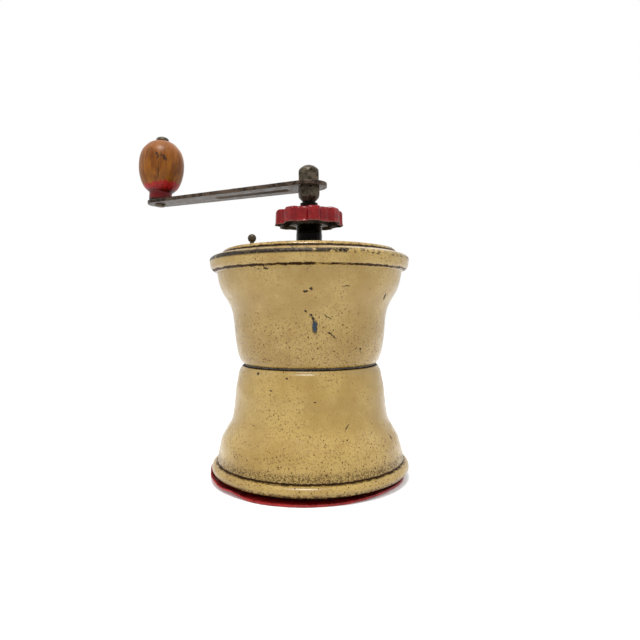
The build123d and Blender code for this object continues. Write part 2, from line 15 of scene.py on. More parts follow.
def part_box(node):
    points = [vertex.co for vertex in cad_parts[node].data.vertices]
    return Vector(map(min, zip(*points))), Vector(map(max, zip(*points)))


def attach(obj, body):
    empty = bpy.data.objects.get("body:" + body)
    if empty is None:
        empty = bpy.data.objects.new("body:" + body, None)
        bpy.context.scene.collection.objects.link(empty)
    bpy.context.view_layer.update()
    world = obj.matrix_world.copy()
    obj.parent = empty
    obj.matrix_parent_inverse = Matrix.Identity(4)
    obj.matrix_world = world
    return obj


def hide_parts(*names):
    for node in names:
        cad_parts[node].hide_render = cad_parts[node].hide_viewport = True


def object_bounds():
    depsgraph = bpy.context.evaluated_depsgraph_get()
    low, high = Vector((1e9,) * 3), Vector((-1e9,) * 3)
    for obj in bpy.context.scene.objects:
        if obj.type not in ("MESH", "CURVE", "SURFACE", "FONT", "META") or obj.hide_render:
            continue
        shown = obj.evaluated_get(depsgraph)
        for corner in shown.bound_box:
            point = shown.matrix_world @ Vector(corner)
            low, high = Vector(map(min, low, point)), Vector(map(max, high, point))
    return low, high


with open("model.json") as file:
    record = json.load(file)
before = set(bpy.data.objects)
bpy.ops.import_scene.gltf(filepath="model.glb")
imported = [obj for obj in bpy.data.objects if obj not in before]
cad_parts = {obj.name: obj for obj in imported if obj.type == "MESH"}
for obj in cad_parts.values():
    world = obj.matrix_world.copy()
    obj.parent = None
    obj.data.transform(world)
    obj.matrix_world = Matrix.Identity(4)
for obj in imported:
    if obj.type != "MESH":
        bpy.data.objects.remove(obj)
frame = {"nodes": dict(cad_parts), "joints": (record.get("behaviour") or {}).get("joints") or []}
cad_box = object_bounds()

MM = 0.001
TURN = 2 * math.pi
UP = Vector((0.0, 0.0, 1.0))

# Thickness of the sheet steel, and the angle from which an edge is sharp
SHEET = 0.8
SHARP = 38.0


def millimetres(node):
    """Lowest and highest corner of a CAD node, in millimetres."""
    low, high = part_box(node)
    return low / MM, high / MM


CUP_LOW, CUP_HIGH = millimetres("lower_shell")
HOPPER_LOW, HOPPER_HIGH = millimetres("upper_shell")
LID_LOW, LID_HIGH = millimetres("lid")
PAD_LOW, PAD_HIGH = millimetres("base_pad")
BUSH_LOW, BUSH_HIGH = millimetres("top_bush")
WHEEL_LOW, WHEEL_HIGH = millimetres("adjusting_wheel")
HUB_LOW, HUB_HIGH = millimetres("hub_nut")
ARM_LOW, ARM_HIGH = millimetres("crank_arm")
CAP_LOW, CAP_HIGH = millimetres("cap_nut")
BALL_LOW, BALL_HIGH = millimetres("door_knob")
DOOR_LOW = millimetres("fill_door")[0]
JOINTS = {joint["name"]: joint for joint in frame["joints"]}
KNOB_FOOT = Vector(JOINTS["knob_spin"]["pos_m"]) / MM
KNOB_AXIS = Vector(JOINTS["knob_spin"]["axis"]).normalized()

# --- Sizes that the boxes don't give, in millimetres and degrees ---

NECK = CUP_HIGH.z
SEAM = HOPPER_LOW.z

# Middle lines of the two walls: radius and height
CUP_WALL = (
    (37.9, NECK - 1.5), (39.0, 58.0), (40.0, 53.0), (40.8, 48.5), (41.6, 39.7), (43.0, 32.0),
    (45.8, 26.8), (48.5, 22.0), (49.9, 16.2), (51.0, 10.4),
)
HOPPER_WALL = (
    (38.5, 65.2), (39.8, 69.5), (41.0, 78.3), (41.8, 87.1), (42.9, 92.5), (45.1, 97.1),
    (47.6, 101.3), (49.3, 105.5), (50.4, 110.6),
)
NECK_BORE = 35.2
BEAD_RADIUS = 2.4

# Inside this radius, or below this height, parts are fitted and a shell stays exactly round
HOPPER_STILL = (30.0, 63.3)
CUP_STILL = (NECK_BORE + 0.9, 0.0)

# Dents: direction, height, width, depth
HOPPER_DENTS = ((-52, 84, 7, 0.25), (-80, 72, 9, 0.2), (70, 90, 8, 0.3), (150, 100, 6, 0.25))
CUP_DENTS = ((-100, 30, 8, 0.25), (-40, 45, 9, 0.2), (110, 35, 9, 0.3), (20, 22, 6, 0.2))

# The fill opening: inner and outer radius, start and sweep
OPENING = (17.0, 42.0, 221.0, 110.0)

# The lid sags only outside this radius and above this height
LID_FLAT = (12.0, 122.6)

# Where the pad's edge curls up: direction, half width, height
CURLS = (
    (-162.0, 24.0, 5.0), (-128.0, 9.0, 2.0), (-110.0, 9.0, 2.2), (-20.0, 18.0, 1.2), (60.0, 15.0, 0.8),
    (140.0, 12.0, 1.0),
)

# How far the pad can lift before it meets the bead, and how far inside its box its cut edge wanders
BEAD_GAP = 2.3
PAD_EDGE = 0.8

# The wheel: its lobes start at this radius and are full that much further out
WHEEL_PLAIN = 11.0
FLUTE_RUN = 5.5
WHEEL_LOBES = 8
WHEEL_TURN = 34.0
FLUTE_DEPTH = 2.4
LOBE_STEEPNESS = 0.85

THREAD_DEPTH = 0.42
BUSH_RADIUS = 7.3
SPINDLE_BORE = 3.06

NUT_FLATS = 11.0
HUB_NUT_TURN = 305.0
CAP_NUT_TURN = 291.0

# The arm's stamped rib: where it starts and ends, half width, height on top, depth of the groove below
RIB = (12.0, 63.0, 2.8, 0.95, 1.15)

SPRING_TURNS = 11
SPRING_WIRE = 0.5

# Room above the spring, so that the highest lift of the spindle doesn't push it into the bush
LIFT_ROOM = 1.05

# --- The view and its lights, in degrees, metres and watts ---

CAMERA_AZIMUTH = 25.0
CAMERA_AWAY = 0.298
CAMERA_HEIGHT = 0.091
CAMERA_LENS = 29.8
CAMERA_SHIFT = (0.0163, -0.0141)
CAMERA_ROLL = -0.0056

# Name, direction, height, distance, size, power
LIGHTS = (
    ("key", -78.0, 0.95, 0.34, 0.32, 7.5),
    ("left", -150.0, 0.45, 0.7, 0.5, 0.35),
    ("right", 20.0, 0.5, 0.7, 0.5, 0.35),
    ("back", 110.0, 0.7, 0.8, 0.6, 0.7),
)

# --- Sums and paths ---


def within(value):
    """The value, kept between 0 and 1."""
    return max(0.0, min(1.0, value))


def eased(value):
    """The value, kept between 0 and 1 and slowed down at both ends."""
    share = within(value)
    return share * share * (3 - 2 * share)


def apart(angle, degrees):
    """How far an angle is from a direction, in radians, the short way round."""
    return (angle - math.radians(degrees) + math.pi) % TURN - math.pi


def rounded(corners, steps=5):
    """A path through (r, z, cut) corners; each is turned by a curve that starts and ends cut away from it."""
    path = []
    for index, (r, z, cut) in enumerate(corners):
        here = Vector((r, z))
        if index in (0, len(corners) - 1) or not cut:
            path.append(here)
            continue
        before = Vector(corners[index - 1][:2]) - here
        after = Vector(corners[index + 1][:2]) - here
        start = here + before.normalized() * min(cut, 0.49 * before.length)
        end = here + after.normalized() * min(cut, 0.49 * after.length)
        for step in range(steps + 1):
            t = step / steps
            path.append(start * (1 - t) ** 2 + here * 2 * t * (1 - t) + end * t**2)
    return path


def smooth(points, steps=6):
    """A Catmull-Rom curve through the points."""
    knots = [Vector(point) for point in points]
    knots = [2 * knots[0] - knots[1]] + knots + [2 * knots[-1] - knots[-2]]
    path = [knots[1]]
    for a, b, c, d in zip(knots, knots[1:], knots[2:], knots[3:]):
        for step in range(1, steps + 1):
            t = step / steps
            bend = (2 * a - 5 * b + 4 * c - d) * t**2 + (3 * b - a - 3 * c + d) * t**3
            path.append(0.5 * (2 * b + (c - a) * t + bend))
    return path


def densified(path, longest):
    """The path with points added so that no step is longer than asked."""
    dense = [path[0]]
    for a, b in zip(path, path[1:]):
        count = max(1, math.ceil((b - a).length / longest))
        dense += [a.lerp(b, step / count) for step in range(1, count + 1)]
    return dense


def densified_ring(path, longest):
    """The same for a closed path."""
    return densified(path + [path[0]], longest)[:-1]


def walled(path, thickness):
    """The closed outline of sheet metal about its middle line, and how many points its first side has."""
    sides = ([], [])
    for index, point in enumerate(path):
        along = path[min(index + 1, len(path) - 1)] - path[max(index - 1, 0)]
        across = Vector((-along.y, along.x)).normalized() * thickness / 2
        sides[0].append(point - across)
        sides[1].append(point + across)
    return sides[0] + sides[1][::-1], len(path)


# --- Meshes ---


def mesh_of(name, vertices, faces):
    """A new mesh from places in millimetres."""
    mesh = bpy.data.meshes.new(name)
    mesh.from_pydata([Vector(vertex) * MM for vertex in vertices], [], faces)
    return mesh


def linked(name, data):
    """A new object with that data, in the scene."""
    made = bpy.data.objects.new(name, data)
    bpy.context.scene.collection.objects.link(made)
    return made


def piece(name, form, materials, body, node, sharp=SHARP):
    """A new mesh object in place of a CAD node, smooth except at sharp edges, riding on a body.

    A form is its vertices, its faces, and the material number of each face, or None.
    """
    vertices, faces, slots = form
    mesh = mesh_of(name, vertices, faces)
    for material in materials:
        mesh.materials.append(material)
    if slots:
        mesh.polygons.foreach_set("material_index", slots)
    work = bmesh.new()
    work.from_mesh(mesh)
    bmesh.ops.remove_doubles(work, verts=work.verts, dist=1e-7)
    bmesh.ops.dissolve_degenerate(work, edges=work.edges, dist=1e-7)
    bmesh.ops.recalc_face_normals(work, faces=work.faces)
    work.to_mesh(mesh)
    work.free()
    mesh.shade_smooth()
    mesh.set_sharp_from_angle(angle=math.radians(sharp))
    made = linked(name, mesh)
    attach(made, body)
    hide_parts(node)
    return made


def turned(outline, segments, closed=True, shape=None, side=None):
    """The form of an outline turned about Z.

    shape(angle, r, z) may move a point; side(index) gives the material number of the strip after a point.
    """
    count = len(outline)
    vertices = []
    for segment in range(segments):
        angle = TURN * segment / segments
        for r, z in outline:
            if shape:
                r, z = shape(angle, r, z)
            vertices.append((r * math.cos(angle), r * math.sin(angle), z))
    faces = []
    slots = []
    for segment in range(segments):
        this = segment * count
        following = (segment + 1) % segments * count
        for index in range(count if closed else count - 1):
            ahead = (index + 1) % count
            if outline[index][0] < 1e-6 and outline[ahead][0] < 1e-6:
                continue
            faces.append((this + index, following + index, following + ahead, this + ahead))
            slots.append(side(index) if side else 0)
    return vertices, faces, slots


def lofted(rings, capped=True):
    """The form of a tube through rings of points; every ring has as many points."""
    count = len(rings[0])
    vertices = [point for ring in rings for point in ring]
    faces = []
    for this in range(0, len(vertices) - count, count):
        following = this + count
        for i in range(count):
            ahead = (i + 1) % count
            faces.append((this + i, this + ahead, following + ahead, following + i))
    if capped:
        faces += [tuple(range(count))[::-1], tuple(range(len(vertices) - count, len(vertices)))]
    return vertices, faces, None


def placed(form, origin, axis):
    """A form built about Z, carried to an axis through the origin given."""
    vertices, faces, slots = form
    turn = UP.rotation_difference(axis).to_matrix()
    return [origin + turn @ Vector(vertex) for vertex in vertices], faces, slots


def ripple(x, y, z, size, seed):
    """Smooth noise between about -1 and 1 with features of that size, in millimetres."""
    return noise.noise(Vector((x / size + seed, y / size - seed, z / size + 2 * seed)))


def dented(amount, size, seed, dents):
    """A shape for turned(): a wall that waves a little and has dents, as (degrees, z, width, depth)."""

    def shape(angle, r, z):
        x, y = r * math.cos(angle), r * math.sin(angle)
        moved = amount * ripple(x, y, z, size, seed)
        for degrees, height, width, depth in dents:
            reach = ((apart(angle, degrees) * r) ** 2 + (z - height) ** 2) / width**2
            moved -= depth * math.exp(-reach)
        return r + moved, z

    return shape


def hexagonal(flats, corner_degrees, softness):
    """A shape for turned(): points outside a hexagon are pulled in to it, as on a chamfered nut."""

    def shape(angle, r, z):
        turn = (angle - math.radians(corner_degrees)) % (TURN / 6) - TURN / 12
        flat = flats / 2 / math.cos(turn)
        blend = within(0.5 + 0.5 * (r - flat) / softness)
        return r + (flat - r) * blend - softness * blend * (1 - blend) * 0.5, z

    return shape


# --- Materials ---


class Shader:
    """Builds one material; its methods add nodes and return output sockets. Places are in millimetres."""

    def __init__(self, name):
        self.material = bpy.data.materials.new(name)
        self.material.use_nodes = True
        self.tree = self.material.node_tree
        self.tree.nodes.clear()
        place = self.add("TexCoord").outputs["Object"]
        self.place = self.vector("SCALE", place, scale=1 / MM)
        split = self.add("SeparateXYZ", {0: self.place})
        self.x, self.y, self.z = split.outputs
        self.radius = self.math("SQRT", self.plus(self.times(self.x, self.x), self.times(self.y, self.y)))

    def add(self, kind, sockets=None, **settings):
        node = self.tree.nodes.new("ShaderNode" + kind)
        for key, value in settings.items():
            setattr(node, key, value)
        for key, value in (sockets or {}).items():
            socket = node.inputs[key]
            if isinstance(value, bpy.types.NodeSocket):
                self.tree.links.new(value, socket)
            else:
                socket.default_value = (*value, 1.0) if socket.type == "RGBA" else value
        return node

    def math(self, operation, a, b=0.0, clamp=False):
        return self.add("Math", {0: a, 1: b}, operation=operation, use_clamp=clamp).outputs[0]

    def times(self, a, b):
        return self.math("MULTIPLY", a, b)

    def plus(self, a, b, clamp=False):
        return self.math("ADD", a, b, clamp)

    def minus(self, a, b, clamp=False):
        return self.math("SUBTRACT", a, b, clamp)

    def vector(self, operation, a, b=(0, 0, 0), scale=1.0):
        node = self.add("VectorMath", {0: a, 1: b, 3: scale}, operation=operation)
        return node.outputs["Value" if operation == "LENGTH" else "Vector"]

    def ramp(self, value, low, high, start=0.0, end=1.0):
        """start below low, end above high, and smooth between; low may be the larger."""
        if low > high:
            low, high, start, end = high, low, end, start
        sockets = {0: value, 1: low, 2: high, 3: start, 4: end}
        return self.add("MapRange", sockets, interpolation_type="SMOOTHSTEP").outputs[0]

    def both(self, *values):
        return reduce(self.times, values)

    def either(self, *values):
        return reduce(lambda a, b: self.math("MAXIMUM", a, b), values)

    def least(self, values):
        return reduce(lambda a, b: self.math("MINIMUM", a, b), values)

    def inverse(self, value):
        return self.minus(1.0, value)

    def mix(self, factor, a, b):
        return self.add("Mix", {0: factor, 6: a, 7: b}, data_type="RGBA").outputs[2]

    def warped(self, place, frequency, detail, amount, middle=0.0):
        """The place, moved about by noise whose values lie around the middle given."""
        drift = self.add("TexNoise", {"Vector": place, "Scale": frequency, "Detail": detail}).outputs["Color"]
        if middle:
            drift = self.vector("SUBTRACT", drift, (middle, middle, middle))
        return self.vector("ADD", place, self.vector("SCALE", drift, scale=amount))

    def noise(self, size, detail=3.0, roughness=0.6, place=None, stretch=None):
        """Noise with features of the given size in millimetres; stretch lengthens them along an axis."""
        place = place or self.place
        if stretch:
            place = self.vector("DIVIDE", place, stretch)
        sockets = {"Vector": place, "Scale": 1 / size, "Detail": detail, "Roughness": roughness}
        return self.add("TexNoise", sockets).outputs[0]

    def band(self, value, centre, reach, soft):
        """1 near the centre, falling off between reach and reach + soft away from it."""
        away = self.math("ABSOLUTE", self.minus(value, centre))
        return self.ramp(away, reach + soft, reach)

    def specks(self, size, share, biggest, place=None, soft=0.3):
        """Spots on a random grid: share is how many cells hold one, biggest its radius in cells."""
        place = place or self.place
        cells = self.add("TexVoronoi", {"Vector": place, "Scale": 1 / size})
        random = self.add("SeparateColor", {0: cells.outputs["Color"]}).outputs[0]
        reach = self.ramp(random, 1 - share, 1.0, 0.0, biggest)
        inside = self.minus(reach, cells.outputs["Distance"])
        return self.ramp(inside, 0.0, biggest * soft)

    def scratches(self, turn, length, width, share, spread):
        """Short straight scratches in one direction: a speck pattern stretched along it."""
        aim = {"Vector": self.place, "Rotation": turn, "Scale": (1.0, 1.0, width / length)}
        return self.specks(spread, share, width / spread, place=self.add("Mapping", aim).outputs[0], soft=0.5)

    def spot(self, centre, size, turn=(0.0, 0.0, 0.0), place=None):
        """Distance from a spot's centre in units of its size (x, y, z), in axes with the turn given."""
        aim = {"Vector": place or self.place, "Location": centre, "Scale": size, "Rotation": turn}
        return self.vector("LENGTH", self.add("Mapping", aim, vector_type="TEXTURE").outputs[0])

    def bump(self, height, strength, distance, normal=None):
        sockets = {"Height": height, "Strength": strength, "Distance": distance * MM}
        if normal:
            sockets["Normal"] = normal
        return self.add("Bump", sockets).outputs[0]

    def finish(self, **sockets):
        """The surface: a Principled shader with these sockets."""
        shader = self.add("BsdfPrincipled", {key.replace("_", " "): value for key, value in sockets.items()})
        self.add("OutputMaterial", {0: shader.outputs[0]})
        return self.material


# The chip whose bare steel is bluish: degrees round the axis and height
BLUISH_CHIP = (-61.6, 83.0)

# The rim is worn most on the side that this direction points away from
WORN_FROM = (0.9063, 0.4226)

# Places of the largest chips in the enamel: degrees round the axis, height, half width, half height, tilt
CHIPS = (
    (-61.6, 83.4, 1.15, 2.9, 6.0),
    (-62.6, 87.2, 0.5, 1.1, 30.0),
    (-63.9, 88.9, 0.9, 0.35, -25.0),
    (-67.4, 91.0, 0.55, 0.5, 0.0),
    (-67.3, 100.3, 1.1, 0.5, 12.0),
    (-64.0, 101.6, 0.6, 0.7, 0.0),
    (-88.9, 111.4, 1.1, 0.4, -8.0),
    (-49.9, 79.2, 0.32, 2.6, 52.0),
    (-52.8, 88.0, 0.22, 1.9, 58.0),
    (-26.0, 71.8, 0.6, 0.6, 0.0),
    (-44.0, 102.8, 1.9, 0.2, 4.0),
    (-8.0, 98.2, 0.8, 1.6, 25.0),
    (-107.5, 59.2, 1.0, 0.5, 0.0),
    (-81.8, 57.8, 0.65, 0.4, 0.0),
    (-93.5, 51.6, 0.6, 0.4, 0.0),
    (-61.6, 46.6, 0.5, 0.42, 0.0),
    (-40.3, 33.9, 0.2, 1.7, -42.0),
    (-2.5, 24.8, 0.7, 0.8, 0.0),
    (128.0, 76.0, 0.9, 2.0, -15.0),
    (40.0, 33.0, 0.8, 1.3, 35.0),
)


def on_wall(degrees, height):
    """The place on the body's wall in that direction and at that height, near enough for marks."""
    path = HOPPER_WALL if height > SEAM else CUP_WALL
    radius = min(path, key=lambda point: abs(point[1] - height))[0]
    angle = math.radians(degrees)
    return (radius * math.cos(angle), radius * math.sin(angle), height)


def enamel():
    """Old cream enamel: mottled, speckled, chipped to the steel, worn along its rims, dirty in grooves, with
    painted shade in its grooves, along the seam and round the lid's edge.
    """
    s = Shader("cream_enamel")
    shaken = s.warped(s.place, 0.9, 3.0, 1.5, middle=0.5)

    broad = s.noise(26.0, 2.0)
    cloud = s.noise(7.0, 4.0, 0.65)
    grain = s.noise(0.55, 3.0, 0.7)
    colour = s.mix(s.ramp(broad, 0.35, 0.65), (0.275, 0.176, 0.040), (0.355, 0.243, 0.070))
    colour = s.mix(s.ramp(cloud, 0.5, 0.78, 0.0, 0.6), colour, (0.245, 0.135, 0.022))
    colour = s.mix(s.ramp(cloud, 0.46, 0.28, 0.0, 0.45), colour, (0.40, 0.275, 0.09))
    colour = s.mix(s.ramp(grain, 0.5, 0.8, 0.0, 0.4), colour, (0.19, 0.105, 0.022))

    low_hopper = s.both(s.ramp(s.z, 96.0, 70.0), s.ramp(s.z, HOPPER_LOW.z - 0.5, HOPPER_LOW.z))
    low_cup = s.ramp(s.z, 34.0, 12.0)
    dirty = s.plus(s.ramp(broad, 0.40, 0.62, 0.22, 0.8), s.either(low_hopper, low_cup), clamp=True)
    bloom = s.noise(0.9, 4.0, 0.75)
    dust = s.either(
        s.both(s.ramp(bloom, 0.51, 0.62), dirty),
        s.both(s.ramp(bloom, 0.5, 0.58), low_hopper, s.ramp(broad, 0.3, 0.6, 0.35, 0.9)),
    )
    colour = s.mix(s.times(dust, 0.8), colour, (0.135, 0.066, 0.013))
    small = s.both(s.specks(1.3, 0.8, 0.33, soft=0.25), dirty)
    medium = s.specks(3.1, 0.26, 0.16, place=shaken, soft=0.2)
    colour = s.mix(s.times(small, 0.9), colour, (0.065, 0.030, 0.009))
    colour = s.mix(s.times(medium, 0.9), colour, (0.040, 0.018, 0.007))

    stray = s.specks(11.0, 0.45, 0.06, place=shaken, soft=0.12)
    marks = s.either(
        s.scratches((0.5, 0.2, 0.0), 3.2, 0.09, 0.12, 4.0),
        s.scratches((-0.9, 0.4, 0.3), 2.4, 0.07, 0.12, 5.0),
        s.scratches((1.3, -0.5, 0.9), 4.0, 0.07, 0.08, 6.0),
    )
    chips = []
    for degrees, height, wide, tall, tilt in CHIPS:
        turn = Matrix.Rotation(math.radians(degrees), 3, "Z") @ Matrix.Rotation(math.radians(tilt), 3, "X")
        place = on_wall(degrees, height)
        chips.append(s.spot(place, (2.5, wide, tall), tuple(turn.to_euler()), place=shaken))
    nearest = s.least(chips)
    chip = s.ramp(nearest, 1.08, 0.92)
    halo = s.both(s.ramp(nearest, 1.7, 1.0), s.ramp(s.noise(0.7, 3.0), 0.4, 0.6))

    patch = s.noise(2.2, 5.0, 0.72)
    coarse = s.noise(9.0, 3.0, 0.6)
    left = s.ramp(s.plus(s.times(s.x, WORN_FROM[0]), s.times(s.y, WORN_FROM[1])), 24.0, -12.0)
    corner = s.both(s.ramp(s.radius, 53.4, 54.4), s.ramp(s.z, 117.6, 118.7), s.ramp(s.z, 121.9, 120.6))
    wanted = s.plus(s.times(left, 0.2), s.times(coarse, 0.5))
    worn_rim = s.both(corner, s.ramp(s.plus(patch, wanted), 0.74, 0.86))
    ledge = s.both(s.ramp(s.radius, 49.0, 50.5), s.ramp(s.z, 119.4, 120.2))
    worn_ledge = s.both(ledge, left, s.ramp(s.plus(patch, s.times(coarse, 0.6)), 0.86, 0.95))
    lid_edge = s.both(s.ramp(s.z, 122.6, 123.4), s.ramp(s.radius, 44.8, 46.0), s.ramp(patch, 0.53, 0.61))
    bead_edge = s.both(s.ramp(s.z, 6.6, 4.9), s.ramp(s.noise(1.4, 4.0, 0.7), 0.44, 0.54))
    bare = s.either(chip, worn_rim, worn_ledge, s.both(stray, s.ramp(broad, 0.4, 0.55)), marks)
    stained = s.either(halo, lid_edge, bead_edge)

    # Dark lines in the base groove, under the rim, along the seam and round the lid's lower edge: dirt, and
    # painted shade in these recesses and gaps
    wander = s.plus(s.z, s.times(s.minus(s.noise(2.4, 4.0, 0.7), 0.5), 1.7))
    groove = s.either(
        s.both(s.band(wander, 9.9, 0.35, 0.45), s.ramp(s.z, 8.8, 9.6)),
        s.both(s.band(wander, 113.1, 0.3, 0.35), s.ramp(coarse, 0.32, 0.46)),
        s.band(s.z, CUP_HIGH.z + 0.4, 0.5, 0.35),
        s.both(s.band(wander, LID_LOW.z - 0.1, 0.5, 0.5), s.ramp(s.radius, 46.0, 47.0)),
    )
    ragged = s.ramp(s.noise(0.8, 4.0, 0.8), 0.44, 0.58)
    shade = s.both(s.band(wander, 11.0, 1.2, 4.0), s.ramp(s.z, 9.4, 10.0), ragged)
    # dirt carries the groove lines with their painted shade, the ragged band above the base groove and the
    # stains
    dirt = s.either(groove, s.times(shade, 0.8), s.times(stained, 0.85))

    steel_tone = s.ramp(s.noise(0.8, 4.0, 0.75), 0.4, 0.66)
    steel = s.mix(steel_tone, (0.010, 0.006, 0.004), (0.070, 0.055, 0.040))
    blue = s.ramp(s.spot(on_wall(*BLUISH_CHIP), (4.0, 4.0, 4.0)), 1.0, 0.7)
    steel = s.mix(blue, steel, s.mix(steel_tone, (0.026, 0.034, 0.045), (0.070, 0.088, 0.108)))
    # Near-black dirt colour, including the painted shade in the grooves and gaps
    colour = s.mix(dirt, colour, s.mix(s.ramp(grain, 0.3, 0.7), (0.004, 0.002, 0.001), (0.060, 0.026, 0.008)))
    colour = s.mix(bare, colour, steel)

    metallic = s.either(s.times(bare, 0.9), s.times(s.either(dirt, small, medium), 0.92))
    roughness = s.ramp(cloud, 0.3, 0.7, 0.24, 0.4)
    roughness = s.plus(roughness, s.times(s.either(dirt, small, medium), 0.3))
    roughness = s.plus(roughness, s.times(bare, 0.12), clamp=True)
    height = s.minus(s.times(s.inverse(bare), 1.0), s.times(dirt, 0.4))
    normal = s.bump(height, 0.55, 0.16)
    normal = s.bump(s.minus(1.0, s.either(small, medium)), 0.4, 0.08, normal)
    normal = s.bump(s.noise(4.5, 2.0), 0.25, 0.35, normal)
    normal = s.bump(s.noise(0.5, 2.0), 0.12, 0.05, normal)
    return s.finish(
        Base_Color=colour, Metallic=metallic, Roughness=roughness, Normal=normal, Specular_IOR_Level=0.3,
        Coat_Weight=s.times(s.inverse(metallic), 0.3), Coat_Roughness=0.14,
    )


def aged_steel(name, dark, light, rust=0.35, roughness=0.42, metallic=0.85, size=1.0):
    """Old steel: brown-black film, brighter where rubbed, rust specks, pits and fine scratches."""
    s = Shader(name)
    film = s.noise(5.0 * size, 5.0, 0.7)
    fine = s.noise(0.7 * size, 4.0, 0.75)
    tone = s.ramp(s.plus(s.times(film, 0.6), s.times(fine, 0.4)), 0.38, 0.62)
    colour = s.mix(tone, dark, light)
    rusty = s.times(s.ramp(s.noise(2.6 * size, 5.0, 0.75), 0.54, 0.7), rust)
    colour = s.mix(rusty, colour, (0.11, 0.045, 0.018))
    pits = s.either(s.specks(1.1 * size, 0.5, 0.2), s.specks(2.4 * size, 0.3, 0.14))
    colour = s.mix(s.times(pits, 0.8), colour, (0.02, 0.013, 0.009))
    rubbed = s.either(
        s.scratches((0.1, 1.45, 0.2), 5.0, 0.06, 0.3, 2.0), s.scratches((1.1, 0.9, 0.6), 3.0, 0.05, 0.25, 2.4)
    )
    colour = s.mix(s.times(rubbed, 0.4), colour, tuple(min(1.0, 1.7 * value) for value in light))
    shine = s.minus(metallic, s.times(s.either(pits, rusty), 0.15), clamp=True)
    rough = s.plus(s.ramp(film, 0.3, 0.7, roughness - 0.1, roughness + 0.14), s.times(pits, 0.2))
    normal = s.bump(s.inverse(pits), 0.5, 0.08)
    normal = s.bump(fine, 0.25, 0.08, normal)
    return s.finish(Base_Color=colour, Metallic=shine, Roughness=rough, Normal=normal)


def red_paint():
    """Glossy crimson paint, rubbed paler on the crests and chipped along the lower edge."""
    s = Shader("crimson_paint")
    cloud = s.noise(3.5, 4.0, 0.65)
    colour = s.mix(s.ramp(cloud, 0.35, 0.7), (0.125, 0.0008, 0.002), (0.185, 0.0018, 0.003))
    crest = s.both(s.ramp(s.radius, 17.6, 18.8), s.ramp(s.noise(2.4, 4.0, 0.7), 0.45, 0.65))
    colour = s.mix(s.times(crest, 0.3), colour, (0.32, 0.016, 0.014))
    foot = s.ramp(s.z, WHEEL_LOW.z + 1.1, WHEEL_LOW.z + 0.2)
    low = s.both(foot, s.ramp(s.noise(1.0, 4.0, 0.7), 0.42, 0.54))
    specks = s.specks(2.1, 0.3, 0.16)
    chips = s.either(low, s.times(specks, 0.35))
    colour = s.mix(chips, colour, (0.09, 0.05, 0.035))
    marks = s.scratches((0.2, 0.1, 0.0), 2.6, 0.06, 0.25, 2.2)
    colour = s.mix(s.times(marks, 0.5), colour, (0.50, 0.17, 0.14))
    rough = s.plus(s.ramp(cloud, 0.3, 0.7, 0.2, 0.36), s.times(chips, 0.3))
    normal = s.bump(s.inverse(chips), 0.5, 0.08)
    normal = s.bump(s.noise(1.6, 3.0), 0.25, 0.14, normal)
    return s.finish(
        Base_Color=colour, Roughness=rough, Normal=normal, Specular_IOR_Level=0.1, Coat_Weight=0.3,
        Coat_Roughness=0.06,
    )


def leatherette():
    """Glossy red oilcloth: fine grain, scuffed paler along its edge, dirty where it meets the base."""
    s = Shader("red_leatherette")
    cloud = s.noise(6.0, 4.0, 0.65)
    grain = s.add("TexVoronoi", {"Vector": s.place, "Scale": 1.6}, feature="SMOOTH_F1").outputs["Distance"]
    colour = s.mix(s.ramp(cloud, 0.35, 0.7), (0.165, 0.003, 0.004), (0.29, 0.008, 0.009))
    edge = s.both(s.ramp(s.radius, 50.5, 52.6), s.ramp(s.noise(1.5, 4.0, 0.7), 0.42, 0.66))
    colour = s.mix(s.times(edge, 0.4), colour, (0.40, 0.05, 0.04))
    dirt = s.ramp(s.noise(2.0, 5.0, 0.75), 0.58, 0.72)
    colour = s.mix(s.times(dirt, 0.6), colour, (0.06, 0.012, 0.010))
    rough = s.ramp(cloud, 0.3, 0.7, 0.24, 0.42)
    normal = s.bump(grain, 0.18, 0.12)
    normal = s.bump(s.noise(2.5, 3.0), 0.3, 0.2, normal)
    return s.finish(
        Base_Color=colour, Roughness=rough, Normal=normal, Specular_IOR_Level=0.25, Coat_Weight=0.1,
        Coat_Roughness=0.15,
    )


# The knob's scarred side: where it faces, the way across it, and how far out its marks lie
KNOB_FACE = Vector((0.652, -0.758, 0.0))
KNOB_SIDE = Vector((0.758, 0.652, 0.0))
KNOB_DEPTH = 12.0

# Its scars: place across, height, half width, half height
SCARS = (
    (-3.2, 27.0, 0.9, 0.8),
    (-2.4, 25.4, 0.5, 1.7),
    (-0.2, 26.1, 1.6, 0.5),
    (1.5, 24.8, 0.9, 1.8),
    (2.7, 23.6, 0.4, 1.2),
    (-1.9, 17.5, 0.25, 6.0),
)


